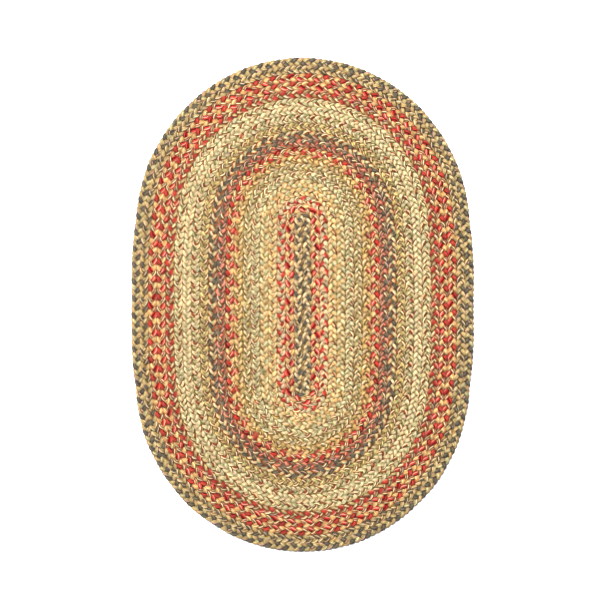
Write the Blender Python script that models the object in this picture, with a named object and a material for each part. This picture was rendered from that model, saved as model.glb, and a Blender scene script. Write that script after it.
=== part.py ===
"""Braided oval rug lying flat: nested rows of three-strand braid, sewn edge to edge.

The rug is one solid. Each row of braid is a raised rib that runs once round the oval, with a
stitched groove on each side of it, and the innermost row is folded flat against itself along
the centre line. Units are metres, +Z is up, the long axis lies along Y, and the origin is in
the middle of the flat underside.
"""

import math

import bmesh
import bpy

# Driving dimensions
BRAID_WIDTH = 0.0123  # one row of braid, groove to groove, at the oval's ends
ROW_COUNT = 20  # rows from the centre line to the rim
CORE_HALF_LENGTH = 0.128  # from the middle of the rug to the centre of either round end
SIDE_BOW = 0.054  # share by which the rows are wider at the middle of the long sides
BOW_ON_SIDES = 0.5  # share of the narrowing that is done where the round ends begin
BOW_END_ANGLE = math.radians(55)  # how far round the ends the rows go on narrowing
RUG_THICKNESS = 0.008

# How finely each row is divided
SIDE_STEPS = 6  # along each long side
END_STEPS = 24  # round each end

# One row across: distance as a share of the braid's width, and height above the floor
ROW_SECTION = (
    {"across": 0.00, "height": 0.0054},  # stitched groove
    {"across": 0.22, "height": RUG_THICKNESS},
    {"across": 0.78, "height": RUG_THICKNESS},
)
# The rim, beyond the last row's shoulder
RIM_SECTION = (
    {"across": 0.96, "height": 0.0062},
    {"across": 1.00, "height": 0.0040},
    {"across": 0.80, "height": 0.0},  # edge of the flat underside
)

JUTE = {"colour": (0.47, 0.35, 0.19, 1.0), "roughness": 0.9, "metallic": 0.0}


def oval_stations():
    """Places once round the oval, anticlockwise: the core point and the way out from it."""
    side = [2 * i / SIDE_STEPS - 1 for i in range(SIDE_STEPS)]
    turn = [math.pi * i / END_STEPS for i in range(END_STEPS)]
    right = [(CORE_HALF_LENGTH * y, 0.0) for y in side]
    top = [(CORE_HALF_LENGTH, angle) for angle in turn]
    left = [(-CORE_HALF_LENGTH * y, math.pi) for y in side]
    bottom = [(-CORE_HALF_LENGTH, math.pi + angle) for angle in turn]
    return right + top + left + bottom


def bow(core_y, angle):
    """How much further out than at the ends a row lies here: most at the middle of a side."""
    past_side = math.asin(min(1.0, abs(math.sin(angle))))
    narrowed = BOW_ON_SIDES * (core_y / CORE_HALF_LENGTH) ** 2
    narrowed += (1 - BOW_ON_SIDES) * min(1.0, past_side / BOW_END_ANGLE)
    return 1 + SIDE_BOW * (1 + math.cos(math.pi * narrowed)) / 2


def rails():
    """Distance from the core line and height of each loop, from the centre groove to the rim."""
    loops = [
        ((row + point["across"]) * BRAID_WIDTH, point["height"])
        for row in range(ROW_COUNT)
        for point in ROW_SECTION
    ]
    last_row = ROW_COUNT - 1
    loops += [((last_row + p["across"]) * BRAID_WIDTH, p["height"]) for p in RIM_SECTION]
    return loops


def add_loop(bm, stations, offset, height):
    """One closed loop of vertices at this distance from the core line."""
    return [
        bm.verts.new(
            (
                offset * bow(core_y, angle) * math.cos(angle),
                core_y + offset * bow(core_y, angle) * math.sin(angle),
                height,
            )
        )
        for core_y, angle in stations
    ]


def join_loops(bm, inner, outer):
    """A band of faces between two loops, facing up or outwards."""
    count = len(inner)
    for i in range(count):
        j = (i + 1) % count
        bm.faces.new((inner[i], outer[i], outer[j], inner[j]))


def build_rug():
    """The ribbed top from loop to loop, then one flat face underneath."""
    bm = bmesh.new()
    stations = oval_stations()
    loops = [add_loop(bm, stations, offset, height) for offset, height in rails()]
    for inner, outer in zip(loops, loops[1:]):
        join_loops(bm, inner, outer)
    bm.faces.new(reversed(loops[-1]))
    bmesh.ops.remove_doubles(bm, verts=bm.verts, dist=1e-5)  # closes the centre groove
    mesh = bpy.data.meshes.new("rug")
    bm.to_mesh(mesh)
    bm.free()
    rug = bpy.data.objects.new("rug", mesh)
    bpy.context.collection.objects.link(rug)
    return rug


def jute_material():
    """Dull natural yarn in the rug's average colour."""
    material = bpy.data.materials.new("braided jute")
    material.use_nodes = True
    shader = material.node_tree.nodes["Principled BSDF"]
    shader.inputs["Base Color"].default_value = JUTE["colour"]
    shader.inputs["Roughness"].default_value = JUTE["roughness"]
    shader.inputs["Metallic"].default_value = JUTE["metallic"]
    return material


for old in list(bpy.data.objects):
    bpy.data.objects.remove(old, do_unlink=True)
build_rug().data.materials.append(jute_material())
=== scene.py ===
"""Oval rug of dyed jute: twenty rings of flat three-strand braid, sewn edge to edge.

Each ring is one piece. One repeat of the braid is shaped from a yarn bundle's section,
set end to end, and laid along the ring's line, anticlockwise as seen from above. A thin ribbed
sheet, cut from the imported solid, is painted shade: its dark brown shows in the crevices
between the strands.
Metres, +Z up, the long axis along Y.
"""

import math

import bpy
import numpy as np
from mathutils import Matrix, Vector


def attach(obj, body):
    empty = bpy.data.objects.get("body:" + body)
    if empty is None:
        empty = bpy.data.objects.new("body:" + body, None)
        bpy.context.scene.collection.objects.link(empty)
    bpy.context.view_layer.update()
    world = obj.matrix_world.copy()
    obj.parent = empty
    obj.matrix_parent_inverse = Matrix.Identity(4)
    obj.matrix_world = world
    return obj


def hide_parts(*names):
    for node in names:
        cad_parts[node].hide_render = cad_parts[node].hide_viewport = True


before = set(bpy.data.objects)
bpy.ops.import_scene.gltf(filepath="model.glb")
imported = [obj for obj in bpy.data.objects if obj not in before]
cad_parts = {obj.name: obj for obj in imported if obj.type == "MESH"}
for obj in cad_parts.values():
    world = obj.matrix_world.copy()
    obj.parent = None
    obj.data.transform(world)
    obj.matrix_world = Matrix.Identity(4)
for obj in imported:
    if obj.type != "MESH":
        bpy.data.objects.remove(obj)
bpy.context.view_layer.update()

# The oval, as the solid has it
BRAID_WIDTH = 0.0123  # one row of braid, groove to groove, at the oval's ends
ROW_COUNT = 20
CORE_HALF_LENGTH = 0.128  # from the middle of the rug to the centre of either round end
SIDE_BOW = 0.054  # share by which the rows are wider at the middle of the long sides
BOW_ON_SIDES = 0.5  # share of the narrowing that is done where the round ends begin
BOW_END_ANGLE = math.radians(55)  # how far round the ends the rows go on narrowing
MIDDLE_HEIGHT = 0.0041  # the middle of the braid's thickness, over the floor
RIM_TUCK = 0.0010  # how far in the last row's middle lies, as its strands reach past its edge

# The lines that the rings are laid along
LINE_STEPS = {"half_side": 200, "end": 600}  # how finely a row's middle is measured
GUIDE_STEP = 0.004  # from point to point of a guide curve
GUIDE_POINTS = 160  # at least

# One strand of the braid
REPEAT = 0.025  # one strand's way from edge to edge and back
SWING = 0.0042  # how far its middle goes to either side
STRAIGHTNESS = 0.88  # 0 for a strand that swings as a sine, towards 1 for a zigzag
HURRY = -0.05  # radians that its swing is ahead in the row's middle, and behind at its edges
RISE = 0.0020  # how far it rises over a crossing, and sinks under one
EARLY = math.radians(28)  # it rises at the row's edge already, and dips before the middle
STRAND_WIDTH = 0.0072
STRAND_THICKNESS = 0.0034
EDGE_NARROWING = 0.12  # share of its width that it loses where it bends at the row's edge
STRAND_LEAN = math.radians(14)  # the shoulders of a row fall away to its grooves
EVEN = (1.0, 1.0, 1.0)  # widths of a braid's strands, as shares of the width above
# Sections along half a repeat, in degrees: close together where a strand bends at the row's edge
HALF_TURN = (0, 46, 72, 90, 108, 130, 155)
TURNS = np.radians(HALF_TURN + tuple(180 + turn for turn in HALF_TURN) + (360,))
TWELFTHS = 12  # parts of a ring, each with its place in the list "at"
LOBE_PLACE = 0.375  # share of a repeat at which a strand lies on top, on the row's outer side
MERGE = 0.00001

# How uneven the dyeing is: spreads of brightness and warmth, as shares of a colour. A lobe is
# what shows of a strand between two crossings.
SEED = 7
LOBE_SHADE = 0.07
YARN_SHADE = 0.14
LOBE_WARMTH = 0.03
YARN_SHIFTS = (-1, 0, 0, 0, 1)  # how many yarns the bundle has rolled round by, at each lobe
HIDDEN_TURN = 0.125  # where a strand is deep under the others, in turns
DEEPENING = 1.1  # how much fuller a colour is where little light reaches it

# Hand-made unevenness: name, size of the noise, most movement there and back (m), and direction
UNEVENNESS = (
    ("row_wander", 0.032, 0.0016, "X"),
    ("row_drift", 0.036, 0.0016, "Y"),
    ("lumps", 0.006, 0.0005, "NORMAL"),
)

# The dark sheet of painted shade between the strands: shares of the solid's size, and how far it
# is lifted
SHEET_SIZE = (0.986, 0.990, 0.25)
SHEET_LIFT = 0.0026
SHEET_SMOOTH = math.radians(50)

# Camera and light
PIXEL = 0.001515  # metres of floor to one pixel of the frame
FRAME_WIDTH = 600  # pixels
LENS = 100
SENSOR = 36
CAMERA_HEIGHT = FRAME_WIDTH * PIXEL * LENS / SENSOR
CAMERA_OVER = (-2.5 * PIXEL, 4.5 * PIXEL)
FLOOR_SIZE = 30
WORLD_STRENGTH = 0.25
OVERHEAD_LAMP = {"place": (-0.8, 1.2, 3.2), "size": 2.0, "power": 406}

# A strand's section: shares of its width and thickness. Four yarns lie side by side, each round
# on top between its dips, and the outer two are half hidden by the strands next to them. "tone"
# is painted shade and light: dark in the dips between the yarns, at the strand's edges and
# underneath, with a little painted highlight on the two middle yarns.
YARN_SECTION = (
    {"across": -0.500, "up": -0.20, "tone": 0.28, "dip": False},
    {"across": -0.380, "up": 0.28, "tone": 0.90, "dip": False},
    {"across": -0.260, "up": 0.20, "tone": 0.10, "dip": True},
    {"across": -0.130, "up": 0.50, "tone": 1.05, "dip": False},
    {"across": 0.000, "up": 0.28, "tone": 0.10, "dip": True},
    {"across": 0.130, "up": 0.50, "tone": 1.05, "dip": False},
    {"across": 0.260, "up": 0.20, "tone": 0.10, "dip": True},
    {"across": 0.380, "up": 0.28, "tone": 0.90, "dip": False},
    {"across": 0.500, "up": -0.20, "tone": 0.28, "dip": False},
    {"across": 0.000, "up": -0.52, "tone": 0.40, "dip": False},
)
YARNS = 4
YARN_AT_COLUMN = (0, 0, 1, 1, 2, 2, 3, 3, 2, 1)  # the yarn that each face of the section is on

# Little light reaches deep into the braid: tone at a height over or under its middle, and at a
# distance from the middle of the row, both in metres. The rug's rim lies open to the light.
DEPTH_TONE = {"height": (0.0, 0.0006, 0.0020, 0.0030), "tone": (0.46, 0.50, 0.95, 1.00)}
GROOVE_TONE = {"aside": (0.0054, 0.0062), "tone": (1.00, 0.90)}
RIM_LIGHT = {"outwards": (0.0025, 0.0050), "share": (0.0, 1.0)}

# Sizes of the yarn's own pattern (m)
PLY_LENGTH = 0.0016  # from one twist line to the next, along the yarn
PLY_SLANT = math.radians(35)
# Jute fibres are about 0.05 mm thick, too fine to show, so they are drawn coarser than real
FIBRE_WIDTH = 0.0007
FIBRE_LENGTH = 0.005
DYE_PATCH = 0.012  # patches that took the dye a little differently
SHADE_SHEET_CLUMP = 0.003
WAVE_PERIOD = 0.314  # of a wave texture at scale 1

# Dyed yarns, sRGB
DYES = {
    "red": "C63A30",
    "deep_red": "74120F",
    "salmon": "E8947A",
    "brick": "A84E3A",
    "rose": "CCA08C",
    "rust": "944E30",
    "gold": "DAA86E",
    "straw": "E8CC8E",
    "khaki": "BCA666",
    "tan": "C6A67C",
    "peach": "EAC690",
    "cream": "DAC498",
    "pale": "E4D0A0",
    "sage": "B4B27C",
    "olive": "967C50",
    "moss": "766A50",
    "brown": "8E6C3E",
    "mauve": "B4906C",
    "chalk": "F0D2A4",
    "umber": "846436",
    "russet": "A05236",
    "slate": "665C50",
}

# Rings from the middle outwards. "strands": the yarns of the three strands, each from behind to
# ahead along the travel, as they show in the row's outer half, and "inner", by strand, where its
# other face is different. "widths" are the strands' where they aren't even. "at" is how far along
# the ring, from the middle of its left side (mm), each twelfth of its repeats begins, which is
# where the first strand lies on top in the outer half. The repeats and "at" weren't measured by
# hand: another program fitted them to the photo.
RINGS = (
    {
        "repeats": 22,
        "strands": ("moss slate slate tan", "tan cream khaki tan", "chalk pale umber tan"),
        "at": (-41, 7, 56, 104, 144, 187, 234, 282, 329, 375, 418, 462),
    },
    {
        "repeats": 23,
        "widths": (1.2, 1.05, 0.75),
        "strands": ("deep_red red salmon red", "peach gold straw gold", "olive chalk russet chalk"),
        "at": (-31, 22, 72, 125, 184, 233, 282, 333, 385, 434, 491, 546),
    },
    {
        "repeats": 28,
        "widths": (1.2, 0.85, 0.95),
        "strands": ("salmon red brick peach", "rust chalk tan cream", "pale cream cream pale"),
        "inner": {2: "pale cream cream salmon"},
        "at": (-31, 27, 88, 145, 203, 264, 325, 385, 447, 507, 561, 616),
    },
    {
        "repeats": 31,
        "strands": ("gold straw straw peach", "peach rust tan khaki", "sage cream peach straw"),
        "inner": {1: "peach tan straw rust"},
        "at": (-35, 29, 97, 163, 219, 277, 340, 407, 485, 550, 615, 682),
    },
    {
        "repeats": 33,
        "strands": ("straw peach cream gold", "straw tan umber khaki", "sage cream pale sage"),
        "inner": {1: "straw tan khaki gold"},
        "at": (-27, 48, 125, 198, 265, 330, 401, 474, 546, 614, 687, 762),
    },
    {
        "repeats": 41,
        "strands": ("sage cream olive chalk", "sage pale cream pale", "tan russet chalk brown"),
        "inner": {2: "cream sage cream olive"},
        "at": (-25, 51, 129, 207, 296, 367, 445, 521, 599, 675, 755, 839),
    },
    {
        "repeats": 40,
        "strands": ("tan chalk umber khaki", "sage tan cream khaki", "sage chalk umber tan"),
        "inner": {0: "cream khaki umber tan"},
        "at": (-35, 53, 143, 233, 313, 395, 479, 566, 652, 721, 804, 892),
    },
    {
        "repeats": 43,
        "strands": ("gold straw gold khaki", "straw umber khaki gold", "rust brick salmon khaki"),
        "inner": {2: "umber tan chalk khaki"},
        "at": (-47, 47, 141, 226, 312, 400, 485, 584, 679, 766, 863, 955),
    },
    {
        "repeats": 45,
        "widths": (1.2, 1.0, 0.8),
        "strands": ("red red brick deep_red", "gold straw gold rust", "umber chalk russet chalk"),
        "inner": {1: "gold straw gold peach", 0: "red salmon red rust"},
        "at": (-46, 55, 159, 257, 348, 439, 537, 635, 732, 833, 932, 1030),
    },
    {
        "repeats": 47,
        "widths": (1.1, 1.0, 0.9),
        "strands": ("salmon brick moss salmon", "slate moss moss rose", "umber chalk moss tan"),
        "inner": {1: "slate brick mauve moss", 2: "umber rose russet tan"},
        "at": (-44, 59, 163, 269, 374, 487, 584, 688, 789, 899, 1002, 1103),
    },
    {
        "repeats": 51,
        "strands": ("slate moss slate tan", "sage cream gold russet", "rust chalk cream umber"),
        "inner": {2: "russet brown rose moss"},
        "at": (-46, 65, 175, 286, 405, 511, 624, 740, 847, 953, 1069, 1173),
    },
    {
        "repeats": 61,
        "strands": ("khaki straw khaki straw", "tan umber chalk rust", "khaki tan umber sage"),
        "inner": {2: "sage tan umber khaki"},
        "at": (-37, 81, 202, 318, 436, 553, 672, 793, 909, 1021, 1138, 1252),
    },
    {
        "repeats": 66,
        "strands": ("russet rust chalk tan", "cream sage umber sage", "pale cream chalk brown"),
        "inner": {0: "tan cream sage cream", 1: "sage cream umber chalk"},
        "at": (-27, 92, 217, 344, 464, 592, 726, 850, 970, 1088, 1211, 1340),
    },
    {
        "repeats": 60,
        "strands": ("sage cream chalk russet", "tan pale cream pale", "cream pale pale sage"),
        "at": (-32, 100, 231, 361, 493, 621, 754, 888, 1016, 1138, 1267, 1398),
    },
    {
        "repeats": 62,
        "strands": ("russet chalk khaki cream", "pale cream pale sage", "sage cream umber chalk"),
        "inner": {0: "umber rust chalk pale"},
        "at": (-22, 112, 253, 390, 527, 663, 793, 932, 1071, 1209, 1347, 1484),
    },
    {
        "repeats": 65,
        "widths": (1.1, 0.9, 1.0),
        "strands": ("brick red brick salmon", "tan chalk umber brick", "brown tan umber rose"),
        "inner": {2: "umber tan khaki brick"},
        "at": (-35, 109, 252, 405, 547, 691, 833, 977, 1120, 1261, 1400, 1541),
    },
    {
        "repeats": 67,
        "widths": (1.15, 1.05, 0.8),
        "strands": ("deep_red red brick red", "gold gold straw gold", "umber chalk russet tan"),
        "inner": {0: "deep_red red salmon red"},
        "at": (-37, 114, 263, 413, 563, 713, 858, 1003, 1161, 1314, 1468, 1614),
    },
    {
        "repeats": 70,
        "widths": (1.15, 1.05, 0.8),
        "strands": ("deep_red red brick red", "gold straw gold gold", "umber chalk russet tan"),
        "inner": {0: "deep_red red salmon red"},
        "at": (-24, 134, 299, 455, 610, 770, 926, 1078, 1232, 1384, 1539, 1692),
    },
    {
        "repeats": 74,
        "strands": ("moss slate tan slate", "brown tan khaki cream", "khaki tan cream brown"),
        "at": (-32, 131, 295, 458, 625, 787, 949, 1112, 1274, 1432, 1589, 1753),
    },
    {
        "repeats": 79,
        "strands": ("slate slate moss slate", "sage cream khaki tan", "moss tan khaki rose"),
        "at": (-34, 135, 301, 474, 642, 815, 983, 1152, 1319, 1485, 1656, 1828),
    },
)


def only(piece):
    """Leaves this piece alone selected and active."""
    for other in bpy.context.selected_objects:
        other.select_set(False)
    piece.select_set(True)
    bpy.context.view_layer.objects.active = piece


def coordinates(piece):
    """Every point of the mesh, one row each."""
    found = np.empty(len(piece.data.vertices) * 3)
    piece.data.vertices.foreach_get("co", found)
    return found.reshape(-1, 3)


def pick(piece, wanted):
    """Selects the wanted points, ready for an edit-mode operator. Leaves the piece in edit mode."""
    if bpy.context.mode != "OBJECT":
        bpy.ops.object.mode_set(mode="OBJECT")
    only(piece)
    mesh = piece.data
    mesh.edges.foreach_set("select", np.zeros(len(mesh.edges), dtype=bool))
    mesh.polygons.foreach_set("select", np.zeros(len(mesh.polygons), dtype=bool))
    mesh.vertices.foreach_set("select", np.asarray(wanted, dtype=bool))
    bpy.ops.object.mode_set(mode="EDIT")


def done():
    """Leaves edit mode."""
    bpy.ops.object.mode_set(mode="OBJECT")


def finish_with(piece, kind, **settings):
    """Adds a modifier with these settings and applies it."""
    modifier = piece.modifiers.new(kind.lower(), kind)
    for name, value in settings.items():
        setattr(modifier, name, value)
    only(piece)
    bpy.ops.object.modifier_apply(modifier=modifier.name)


# --- One repeat of the braid -------------------------------------------------------------------


def straight_strand(name, number):
    """A straight bundle of yarns along X, marked with its strand, steps and section columns."""
    points = len(YARN_SECTION)
    bpy.ops.mesh.primitive_circle_add(vertices=points, radius=STRAND_WIDTH)
    strand = bpy.context.object
    strand.name = name
    for index, place in enumerate(YARN_SECTION):
        at = strand.data.vertices[index].co.copy()
        aside = place["across"] * STRAND_WIDTH - at.y
        up = place["up"] * STRAND_THICKNESS - at.z
        pick(strand, [i == index for i in range(points)])
        bpy.ops.transform.translate(value=(-at.x, aside, up))
        done()
    bpy.ops.object.mode_set(mode="EDIT")
    bpy.ops.mesh.select_all(action="SELECT")
    for length in np.diff(along_repeat()):
        move = {"value": (length, 0, 0)}
        bpy.ops.mesh.extrude_edges_move(TRANSFORM_OT_translate=move)
    bpy.ops.mesh.select_all(action="SELECT")
    bpy.ops.mesh.normals_make_consistent(inside=False)
    done()
    crease_dips(strand)
    mark_strand(strand, number)
    return strand


def along_repeat():
    """How far along a repeat each section of a strand is."""
    return REPEAT * TURNS / (2 * math.pi)


def crease_dips(strand):
    """Keeps the dips between the yarns sharp, so that each yarn looks round."""
    dips = [i for i, place in enumerate(YARN_SECTION) if place["dip"]]
    section = section_points()
    points = coordinates(strand)[:, 1:]
    at_dip = [min(np.linalg.norm(point - section[i]) for i in dips) < MERGE for point in points]
    for edge in strand.data.edges:
        start, end = edge.vertices
        along = abs(strand.data.vertices[start].co.x - strand.data.vertices[end].co.x) > MERGE
        edge.use_edge_sharp = bool(along and at_dip[start] and at_dip[end])


def section_points():
    """The strand's section as points across and up, in metres."""
    size = (STRAND_WIDTH, STRAND_THICKNESS)
    return np.array([(place["across"], place["up"]) for place in YARN_SECTION]) * size


def section_run():
    """How far round the section each of its points is, and the first one again at the end."""
    section = section_points()
    lengths = np.linalg.norm(np.roll(section, -1, axis=0) - section, axis=1)
    return np.concatenate(([0.0], np.cumsum(lengths)))


def mark_strand(strand, number):
    """Writes on each face which strand, step and column it is, and unrolls the yarns flat."""
    mesh = strand.data
    section = section_points()
    middles = (section + np.roll(section, -1, axis=0)) / 2
    unrolled = section_run()
    lay = mesh.uv_layers.new(name="yarn_lay").data
    steps, columns = [], []
    for face in mesh.polygons:
        step = int(np.searchsorted(along_repeat(), face.center.x)) - 1
        column = int(np.argmin(np.linalg.norm(middles - np.array(face.center[1:]), axis=1)))
        steps.append(step)
        columns.append(column)
        for loop in face.loop_indices:
            at = mesh.vertices[mesh.loops[loop].vertex_index].co
            nearer = np.linalg.norm(section[column] - np.array(at[1:])) < MERGE
            lay[loop].uv = (unrolled[column if nearer else column + 1], at.x)
    for mark, values in (("strand", [number] * len(steps)), ("step", steps), ("column", columns)):
        mesh.attributes.new(mark, "INT", "FACE").data.foreach_set("value", values)


def strand_places(widths):
    """Where each strand's way begins, as shares of a repeat. A thicker strand takes more room."""
    first, second, third = (width / sum(widths) for width in widths)
    return 0.0, (first + second) / 2, first / 2 + second + third / 2


def plait(strand, place, width):
    """Bends a straight strand into its way through the braid, one section after the other."""
    x = coordinates(strand)[:, 0]
    reach = SWING / math.asin(STRAIGHTNESS)
    for along, turn in zip(along_repeat(), TURNS):
        swing = turn + HURRY * math.cos(2 * turn)
        bent = STRAIGHTNESS * math.sin(swing)
        aside = -reach * math.asin(bent)
        slope = reach * STRAIGHTNESS * math.cos(swing) / math.sqrt(1 - bent**2)
        slope *= (1 - 2 * HURRY * math.sin(2 * turn)) * 2 * math.pi / REPEAT
        heading = -math.atan(slope)
        rise = -RISE * math.sin(2 * turn + EARLY)
        lean = STRAND_LEAN * math.sin(swing) * (0.5 + 0.5 * rise / RISE)
        narrowed = EDGE_NARROWING * math.sin(swing) ** 4
        pick(strand, np.abs(x - along) < MERGE)
        middle = (along, 0, 0)
        size = (1, width * (1 - narrowed), math.sqrt(width) * (1 + narrowed / 2))
        bpy.ops.transform.resize(value=size, center_override=middle)
        bpy.ops.transform.rotate(value=-lean, orient_axis="X", center_override=middle)
        bpy.ops.transform.rotate(value=-heading, orient_axis="Z", center_override=middle)
        bpy.ops.transform.translate(value=((place - LOBE_PLACE) * REPEAT, aside, rise))
    done()


def paint_shade_tones(repeat, at_rim):
    """Writes on each corner its painted shade: how much of its dye's brightness shows there, from
    the section's dips and edges, the depth in the braid and the row's grooves.
    """
    mesh = repeat.data
    corner_points = np.empty(len(mesh.loops), dtype=np.int32)
    mesh.loops.foreach_get("vertex_index", corner_points)
    places = coordinates(repeat)[corner_points]
    unrolled = np.empty(2 * len(mesh.loops))
    mesh.uv_layers["yarn_lay"].data.foreach_get("uv", unrolled)
    round_section = [place["tone"] for place in YARN_SECTION]
    tone = np.interp(unrolled[::2], section_run(), round_section + round_section[:1])
    depth = np.interp(np.abs(places[:, 2]), DEPTH_TONE["height"], DEPTH_TONE["tone"])
    if at_rim:
        depth += (1 - depth) * np.interp(-places[:, 1], RIM_LIGHT["outwards"], RIM_LIGHT["share"])
    tone *= depth
    tone *= np.interp(np.abs(places[:, 1]), GROOVE_TONE["aside"], GROOVE_TONE["tone"])
    mesh.attributes.new("tone", "FLOAT", "CORNER").data.foreach_set("value", tone)


def one_repeat(widths, at_rim):
    """Three strands plaited together, one repeat long, each from its own place on."""
    strands = []
    for number, place in enumerate(strand_places(widths)):
        strand = straight_strand(f"strand_{number}", number)
        plait(strand, place, widths[number])
        strands.append(strand)
    only(strands[0])
    for strand in strands:
        strand.select_set(True)
    bpy.ops.object.join()
    repeat = bpy.context.object
    repeat.name = "one_repeat"
    paint_shade_tones(repeat, at_rim)
    bpy.ops.object.shade_smooth()
    return repeat


# --- Rings -------------------------------------------------------------------------------------


def bow(core_y, angle):
    """How much further out than at the ends a row lies here: most at the middle of a side."""
    past_side = np.arcsin(np.minimum(1.0, np.abs(np.sin(angle))))
    narrowed = BOW_ON_SIDES * (core_y / CORE_HALF_LENGTH) ** 2
    narrowed = narrowed + (1 - BOW_ON_SIDES) * np.minimum(1.0, past_side / BOW_END_ANGLE)
    return 1 + SIDE_BOW * (1 + np.cos(np.pi * narrowed)) / 2


def ring_line(row):
    """The middle of this row once round, anticlockwise from the middle of the left side.

    Gives x, y and the widening at each point, and how far along it is.
    """
    half = CORE_HALF_LENGTH
    share = np.linspace(0, 1, LINE_STEPS["half_side"], endpoint=False)
    turn = np.linspace(0, math.pi, LINE_STEPS["end"], endpoint=False)
    parts = (
        (-half * share, np.full_like(share, math.pi)),
        (np.full_like(turn, -half), math.pi + turn),
        (half * (2 * share - 1), np.zeros_like(share)),
        (np.full_like(turn, half), turn),
        (half * (1 - share), np.full_like(share, math.pi)),
    )
    core_y, angle = (np.concatenate(values) for values in zip(*parts))
    widening = bow(core_y, angle)
    out = (row - 0.5) * BRAID_WIDTH * widening
    if row == ROW_COUNT:
        out = out - RIM_TUCK
    x = out * np.cos(angle)
    y = core_y + out * np.sin(angle)
    x, y, widening = (np.append(v, v[0]) for v in (x, y, widening))
    along = np.concatenate(([0.0], np.cumsum(np.hypot(np.diff(x), np.diff(y)))))
    return x, y, widening, along


def guide(row):
    """A closed curve along the row's middle, from the middle of its left side."""
    x, y, widening, along = ring_line(row)
    count = max(GUIDE_POINTS, int(along[-1] / GUIDE_STEP))
    places = np.arange(count) * along[-1] / count
    line = bpy.data.curves.new("row_line", "CURVE")
    line.dimensions = "3D"
    line.twist_mode = "Z_UP"
    line.use_radius = True
    line.use_stretch = False
    line.use_deform_bounds = False
    spline = line.splines.new("POLY")
    spline.points.add(count - 1)
    for point, place in zip(spline.points, places):
        at = (np.interp(place, along, x), np.interp(place, along, y))
        point.co = (*at, MIDDLE_HEIGHT, 1)
        point.radius = np.interp(place, along, widening)
    spline.use_cyclic_u = True
    guide_piece = bpy.data.objects.new("row_line", line)
    bpy.context.scene.collection.objects.link(guide_piece)
    return guide_piece


def ring_length(guide_piece):
    """How long a guide curve is, once round."""
    points = np.array([p.co[:3] for p in guide_piece.data.splines[0].points])
    return float(np.linalg.norm(points - np.roll(points, -1, axis=0), axis=1).sum())


def set_places(ring, repeats, places):
    """Stretches a straight row of repeats so that each twelfth of them begins at its place (m)."""
    spacing = repeats * REPEAT / TWELFTHS
    around = places[-1] - places[0]
    before, after = places[-2] - around, places[1] + around
    bpy.ops.object.add(type="LATTICE", location=(TWELFTHS / 2 * spacing, 0, 0))
    lattice = bpy.context.object
    length = (TWELFTHS + 2) * spacing
    lattice.scale = (length, 1, 1)
    lattice.data.points_u = TWELFTHS + 3
    lattice.data.points_v = 1
    lattice.data.points_w = 1
    lattice.data.interpolation_type_u = "KEY_LINEAR"
    for point, place in zip(lattice.data.points, [before, *places, after]):
        point.co_deform.x = (place - lattice.location.x) / length
    finish_with(ring, "LATTICE", object=lattice)
    bpy.data.lattices.remove(lattice.data)


def add_unevenness():
    """Smooth noise that all the rings share, so that neighbours move together."""
    for name, scale, _, _ in UNEVENNESS:
        noise = bpy.data.textures.new(name, "CLOUDS")
        noise.noise_scale = scale
        noise.noise_depth = 0
        noise.noise_basis = "IMPROVED_PERLIN" if name == "row_drift" else "ORIGINAL_PERLIN"


def braid_ring(row, one):
    """One closed ring of braid: repeats set end to end, then laid along the row's line."""
    facts = RINGS[row - 1]
    line_length = ring_line(row)[3][-1]
    line = guide(row)
    fit = ring_length(line) / line_length
    only(one)
    bpy.ops.object.duplicate(linked=False)
    ring = bpy.context.object
    ring.name = f"braid_{row:02d}"
    ring.data.name = ring.name
    finish_with(
        ring,
        "ARRAY",
        count=facts["repeats"],
        use_relative_offset=False,
        use_constant_offset=True,
        constant_offset_displace=(REPEAT, 0, 0),
        use_merge_vertices=True,
        merge_threshold=MERGE,
        offset_v=REPEAT,
    )
    places = [place / 1000 * fit for place in facts["at"]]
    set_places(ring, facts["repeats"], places + [places[0] + line_length * fit])
    finish_with(ring, "CURVE", object=line, deform_axis="POS_X")
    finish_with(ring, "WELD", merge_threshold=2 * MERGE)
    for name, _, strength, direction in UNEVENNESS:
        finish_with(
            ring,
            "DISPLACE",
            texture=bpy.data.textures[name],
            texture_coords="GLOBAL",
            direction=direction,
            strength=strength,
        )
    bpy.data.curves.remove(line.data)
    return ring


def face_marks(mesh, mark):
    """What mark_strand wrote on each face."""
    found = np.empty(len(mesh.polygons), dtype=np.int32)
    mesh.attributes[mark].data.foreach_get("value", found)
    return found


def strand_dyes(yarns, along_travel):
    """The colours of a strand's yarns, in the order that they have across its section."""
    names = yarns.split() if along_travel else reversed(yarns.split())
    return [linear(DYES[name]) for name in names]


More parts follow.
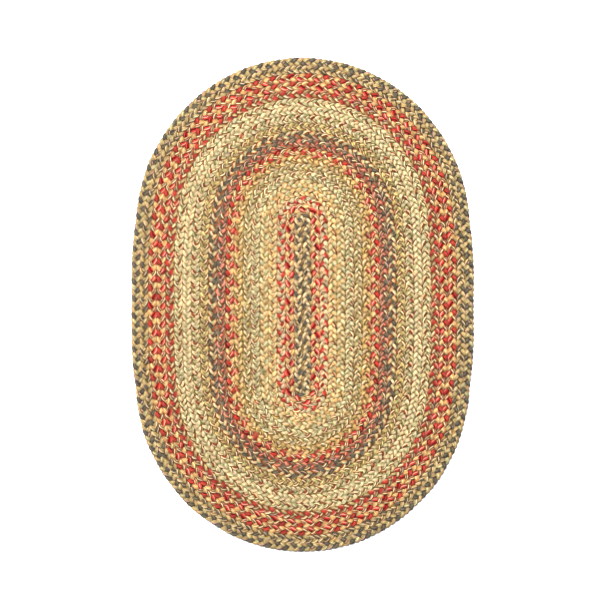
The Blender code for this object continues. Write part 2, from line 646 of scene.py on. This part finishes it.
def dye_yarns(ring, row):
    """Gives every face its yarn's colour, a little different from one lobe to the next, darkened by
    the painted shade and made fuller where that shade is deep.
    """
    mesh = ring.data
    strand, step, column = (face_marks(mesh, mark) for mark in ("strand", "step", "column"))
    lengths = len(TURNS) - 1
    copy = np.arange(len(mesh.polygons)) // (3 * lengths * len(YARN_SECTION))
    lobes = 2 * (int(copy[-1]) + 1)
    turn = copy + (TURNS[step] + TURNS[step + 1]) / (4 * math.pi)
    lobe = np.floor(2 * (turn - HIDDEN_TURN)).astype(int) % lobes  # odd in the inner half
    chance = np.random.default_rng(SEED + row)
    shift = chance.choice(YARN_SHIFTS, size=(3, lobes))
    depth = chance.normal(1.0, LOBE_SHADE, size=(3, lobes))[:, :, None]
    depth = depth * chance.normal(1.0, YARN_SHADE, size=(3, lobes, YARNS))
    warmth = chance.normal(0.0, LOBE_WARMTH, size=(3, lobes))
    yarn = (np.array(YARN_AT_COLUMN)[column] + shift[strand, lobe]) % YARNS
    facts = RINGS[row - 1]
    outer = [strand_dyes(yarns, False) for yarns in facts["strands"]]
    inner = [
        strand_dyes(facts.get("inner", {}).get(number, yarns), True)
        for number, yarns in enumerate(facts["strands"])
    ]
    colour = np.array([outer, inner])[lobe % 2, strand, yarn]
    colour[:, :3] *= depth[strand, lobe, yarn][:, None]
    colour[:, 0] *= 1 + warmth[strand, lobe]
    colour[:, 2] *= 1 - warmth[strand, lobe]
    corners = np.empty(len(mesh.polygons), dtype=np.int32)
    mesh.polygons.foreach_get("loop_total", corners)
    spread = np.repeat(colour, corners, axis=0)
    tone = np.empty(len(mesh.loops))
    mesh.attributes["tone"].data.foreach_get("value", tone)
    # Painted shade: the tone darkens each corner's dye, and makes it fuller where little light
    # reaches
    deepened = 1 + DEEPENING * np.clip(1 - tone, 0, 1)
    spread[:, :3] = tone[:, None] * spread[:, :3] ** deepened[:, None]
    spread = np.clip(spread, 0, 1)
    dyed = mesh.color_attributes.new("yarn_colour", "FLOAT_COLOR", "CORNER")
    dyed.data.foreach_set("color", spread.ravel())
    for mark in ("strand", "step", "column", "tone"):
        mesh.attributes.remove(mesh.attributes[mark])


# --- Materials ---------------------------------------------------------------------------------


def linear(hex_colour):
    """An sRGB hex colour as linear light, with full alpha."""
    parts = [int(hex_colour[i : i + 2], 16) / 255 for i in (0, 2, 4)]
    return [p / 12.92 if p <= 0.04045 else ((p + 0.055) / 1.055) ** 2.4 for p in parts] + [1.0]


def node(tree, kind, settings, inputs):
    """Adds a node. An input is a value, or another node's output to link from."""
    made = tree.nodes.new(kind)
    for name, value in settings.items():
        setattr(made, name, value)
    for name, value in inputs.items():
        if isinstance(value, bpy.types.NodeSocket):
            tree.links.new(value, made.inputs[name])
        else:
            made.inputs[name].default_value = value
    return made


def plied_jute():
    """Jute dyed in the yarn, spun and loosely plied.

    The eye sees a matt yarn with slanting twist lines, and paler and darker fibres along it.
    """
    material = bpy.data.materials.new("plied dyed jute")
    material.use_nodes = True
    tree = material.node_tree
    shader = tree.nodes["Principled BSDF"]
    dye = node(tree, "ShaderNodeAttribute", {"attribute_name": "yarn_colour"}, {})
    lay = node(tree, "ShaderNodeUVMap", {"uv_map": "yarn_lay"}, {}).outputs["UV"]
    place = node(tree, "ShaderNodeTexCoord", {}, {}).outputs["Object"]
    slanted = node(tree, "ShaderNodeMapping", {}, {"Vector": lay, "Rotation": (0, 0, PLY_SLANT)})
    plies = node(
        tree,
        "ShaderNodeTexWave",
        {"wave_type": "BANDS", "bands_direction": "Y", "wave_profile": "SIN"},
        {
            "Vector": slanted.outputs["Vector"],
            "Scale": WAVE_PERIOD / PLY_LENGTH,
            "Distortion": 1.5,
            "Detail": 1.0,
            "Detail Scale": 1.5,
        },
    )
    drawn = node(
        tree,
        "ShaderNodeMapping",
        {},
        {"Vector": lay, "Scale": (1 / FIBRE_WIDTH, 1 / FIBRE_LENGTH, 1)},
    )
    fibres = node(
        tree,
        "ShaderNodeTexNoise",
        {},
        {"Vector": drawn.outputs["Vector"], "Scale": 1.0, "Detail": 3.0},
    )
    patches = node(
        tree, "ShaderNodeTexNoise", {}, {"Vector": place, "Scale": 1 / DYE_PATCH, "Detail": 2.0}
    )
    colour = dye.outputs["Color"]
    for source, low, high in ((plies, 0.72, 1.06), (fibres, 0.55, 1.45), (patches, 0.86, 1.14)):
        tone = node(
            tree,
            "ShaderNodeMapRange",
            {},
            {"Value": source.outputs["Fac"], "To Min": low, "To Max": high},
        )
        shaded = node(
            tree,
            "ShaderNodeVectorMath",
            {"operation": "SCALE"},
            {"Vector": colour, "Scale": tone.outputs["Result"]},
        )
        colour = shaded.outputs["Vector"]
    rough = node(
        tree,
        "ShaderNodeMapRange",
        {},
        {"Value": fibres.outputs["Fac"], "To Min": 0.78, "To Max": 0.98},
    )
    relief = node(
        tree,
        "ShaderNodeMath",
        {"operation": "MULTIPLY_ADD"},
        {0: fibres.outputs["Fac"], 1: 0.4, 2: plies.outputs["Fac"]},
    )
    bump = node(
        tree,
        "ShaderNodeBump",
        {},
        {"Strength": 0.7, "Distance": 0.0003, "Height": relief.outputs["Value"]},
    )
    tree.links.new(colour, shader.inputs["Base Color"])
    tree.links.new(rough.outputs["Result"], shader.inputs["Roughness"])
    tree.links.new(bump.outputs["Normal"], shader.inputs["Normal"])
    shader.inputs["Specular IOR Level"].default_value = 0.1
    shader.inputs["Sheen Weight"].default_value = 0.03
    shader.inputs["Sheen Roughness"].default_value = 0.6
    return material


def crevice_shade_jute():
    """Dark jute that carries painted shade for the crevices deep in the braid.

    The eye sees dull brown between the strands, as little light comes there.
    """
    material = bpy.data.materials.new("packed inner jute")
    material.use_nodes = True
    tree = material.node_tree
    shader = tree.nodes["Principled BSDF"]
    place = node(tree, "ShaderNodeTexCoord", {}, {}).outputs["Object"]
    clumps = node(
        tree, "ShaderNodeTexNoise", {}, {"Vector": place, "Scale": 1 / SHADE_SHEET_CLUMP, "Detail": 3.0}
    ).outputs["Fac"]
    mixed = node(tree, "ShaderNodeMix", {"data_type": "RGBA"}, {"Factor": clumps})
    colours = [socket for socket in mixed.inputs if socket.type == "RGBA"]
    # Painted shade: dark browns that stand for the shadow deep between the strands
    for socket, hex_colour in zip(colours, ("2E2216", "4A3822")):
        socket.default_value = linear(hex_colour)
    mixed_colour = next(socket for socket in mixed.outputs if socket.type == "RGBA")
    bump = node(
        tree, "ShaderNodeBump", {}, {"Strength": 0.6, "Distance": 0.0004, "Height": clumps}
    )
    tree.links.new(mixed_colour, shader.inputs["Base Color"])
    tree.links.new(bump.outputs["Normal"], shader.inputs["Normal"])
    shader.inputs["Roughness"].default_value = 0.95
    return material


# --- The dark sheet of painted shade between the strands -----------------------------------------


def inner_sheet():
    """The solid's ribbed oval, thinned to what shows between the strands and a little smaller."""
    only(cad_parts["rug"])
    bpy.ops.object.duplicate(linked=False)
    sheet = bpy.context.object
    sheet.name = "inner_yarn"
    bpy.ops.object.mode_set(mode="EDIT")
    bpy.ops.mesh.select_all(action="SELECT")
    bpy.ops.mesh.remove_doubles(threshold=MERGE)
    bpy.ops.mesh.tris_convert_to_quads()
    bpy.ops.transform.resize(value=SHEET_SIZE, center_override=(0, 0, 0))
    bpy.ops.transform.translate(value=(0, 0, SHEET_LIFT))
    done()
    bpy.ops.object.shade_smooth_by_angle(angle=SHEET_SMOOTH)
    return sheet


# --- Floor, light and camera -------------------------------------------------------------------


def floor():
    """A plain white floor. It isn't part of the rug."""
    bpy.ops.mesh.primitive_plane_add(size=FLOOR_SIZE)
    ground = bpy.context.object
    ground.name = "floor"
    material = bpy.data.materials.new("white studio floor")
    material.use_nodes = True
    shader = material.node_tree.nodes["Principled BSDF"]
    shader.inputs["Base Color"].default_value = linear("F4F4F4")
    shader.inputs["Roughness"].default_value = 0.9
    shader.inputs["Specular IOR Level"].default_value = 0.1
    ground.data.materials.append(material)


def light_and_camera():
    """Soft light from overhead, a little to the left, and the camera straight above."""
    scene = bpy.context.scene
    world = bpy.data.worlds.new("studio")
    world.use_nodes = True
    background = world.node_tree.nodes["Background"]
    background.inputs["Color"].default_value = (1, 1, 1, 1)
    background.inputs["Strength"].default_value = WORLD_STRENGTH
    scene.world = world
    bpy.ops.object.light_add(type="AREA", location=OVERHEAD_LAMP["place"])
    lamp = bpy.context.object
    lamp.name = "overhead"
    lamp.data.shape = "DISK"
    lamp.data.size = OVERHEAD_LAMP["size"]
    lamp.data.energy = OVERHEAD_LAMP["power"]
    aim = -Vector(OVERHEAD_LAMP["place"])
    lamp.rotation_euler = aim.to_track_quat("-Z", "Y").to_euler()
    bpy.ops.object.camera_add(location=(*CAMERA_OVER, CAMERA_HEIGHT), rotation=(0, 0, 0))
    camera = bpy.context.object
    camera.name = "camera"
    camera.data.lens = LENS
    camera.data.sensor_width = SENSOR
    scene.camera = camera
    scene.view_settings.view_transform = "Standard"


# --- Putting it together -----------------------------------------------------------------------

floor()
light_and_camera()
jute = plied_jute()
add_unevenness()
repeats = {}
rings = []
for row in range(1, ROW_COUNT + 1):
    kind = (RINGS[row - 1].get("widths", EVEN), row == ROW_COUNT)
    if kind not in repeats:
        repeats[kind] = one_repeat(*kind)
    ring = braid_ring(row, repeats[kind])
    dye_yarns(ring, row)
    ring.data.materials.clear()
    ring.data.materials.append(jute)
    rings.append(ring)
for one in repeats.values():
    bpy.data.objects.remove(one)
sheet = inner_sheet()
sheet.data.materials.clear()
sheet.data.materials.append(crevice_shade_jute())

for piece in [sheet] + rings:
    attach(piece, "root")
    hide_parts("rug")
